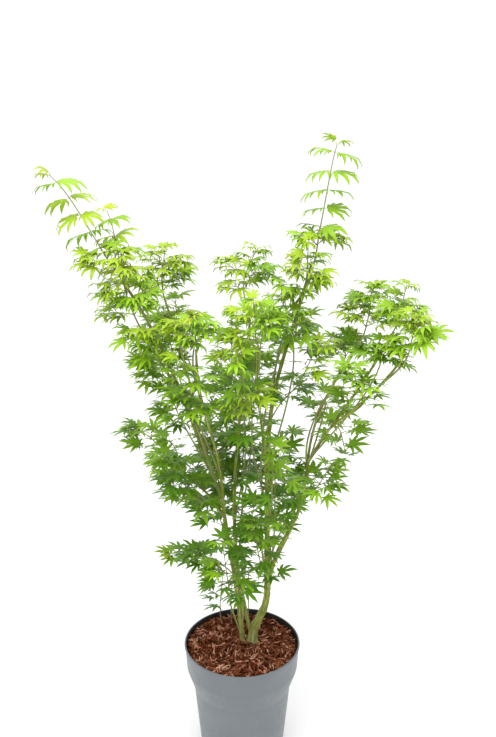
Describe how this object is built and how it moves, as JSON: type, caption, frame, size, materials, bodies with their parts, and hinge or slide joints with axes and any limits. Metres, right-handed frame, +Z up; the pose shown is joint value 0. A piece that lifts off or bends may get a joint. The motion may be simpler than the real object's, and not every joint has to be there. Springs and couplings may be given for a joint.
{
  "type": "potted japanese maple",
  "caption": "Young upright maple with slender stems and palmate leaves in sprays, growing from bark mulch in a plain round nursery pot.",
  "frame": {"origin": "centre of the pot's flat underside, where the plant stands", "axes": "+Z up along the pot's axis, -Y the front of the plant, +X to its right"},
  "size_m": [0.727, 0.4397, 1.3108],
  "materials": {
    "pot_plastic": "light blue-grey matt moulded plastic",
    "bark_mulch": "shredded red-brown bark chips",
    "bark": "smooth olive-green young bark with pale streaks",
    "leaf_deep": "deep green shaded leaves",
    "leaf_mid": "mid green leaves",
    "leaf_fresh": "fresh light green leaves",
    "leaf_lime": "lime green leaves at the tips"
  },
  "bodies": {
    "root": {"pot": "pot_plastic", "bark_mulch": "bark_mulch", "trunk": "bark", "stem_left": "bark", "bough_middle": "bark", "bough_leader": "bark", "bough_right_low": "bark", "bough_left_outer": "bark", "bough_left_back": "bark", "bough_left_front": "bark", "bough_centre_front": "bark", "bough_right_outer": "bark", "bough_right_inner": "bark", "bough_right_side": "bark", "bough_mid_left": "bark", "leader_left": "leaf_lime", "crown_left_outer": "leaf_lime", "crown_left_side": "leaf_lime", "mid_left_outer": "leaf_fresh", "mid_left_inner": "leaf_fresh", "leader_left_second": "leaf_lime", "crown_left_top": "leaf_lime", "crown_left_right": "leaf_lime", "crown_left_back": "leaf_lime", "front_left_top": "leaf_lime", "front_left_low": "leaf_lime", "crown_centre_top": "leaf_lime", "crown_centre_left": "leaf_lime", "crown_centre_back": "leaf_lime", "mid_centre_left": "leaf_fresh", "mid_centre_back": "leaf_fresh", "low_centre_inner": "leaf_mid", "front_centre_top": "leaf_lime", "front_centre_low": "leaf_lime", "leader_right": "leaf_lime", "neck_right": "leaf_lime", "crown_right_centre": "leaf_lime", "crown_right_low": "leaf_lime", "mid_right_shoot": "leaf_fresh", "mid_centre_right": "leaf_mid", "mid_centre_front": "leaf_mid", "low_centre_right": "leaf_mid", "crown_right_left": "leaf_lime", "crown_right_arm": "leaf_fresh", "mid_right_back": "leaf_mid", "crown_right_top": "leaf_lime", "crown_right_front": "leaf_lime", "mid_right_low": "leaf_mid", "crown_right_outer": "leaf_lime", "mid_right_front": "leaf_fresh", "low_right_side": "leaf_mid", "low_right_inner": "leaf_mid", "low_right_foot": "leaf_deep", "low_left_top": "leaf_mid", "low_left_spray": "leaf_deep", "mid_left_spray": "leaf_mid", "low_left_inner": "leaf_mid", "low_centre_foot": "leaf_deep"}
  },
  "joints": []
}
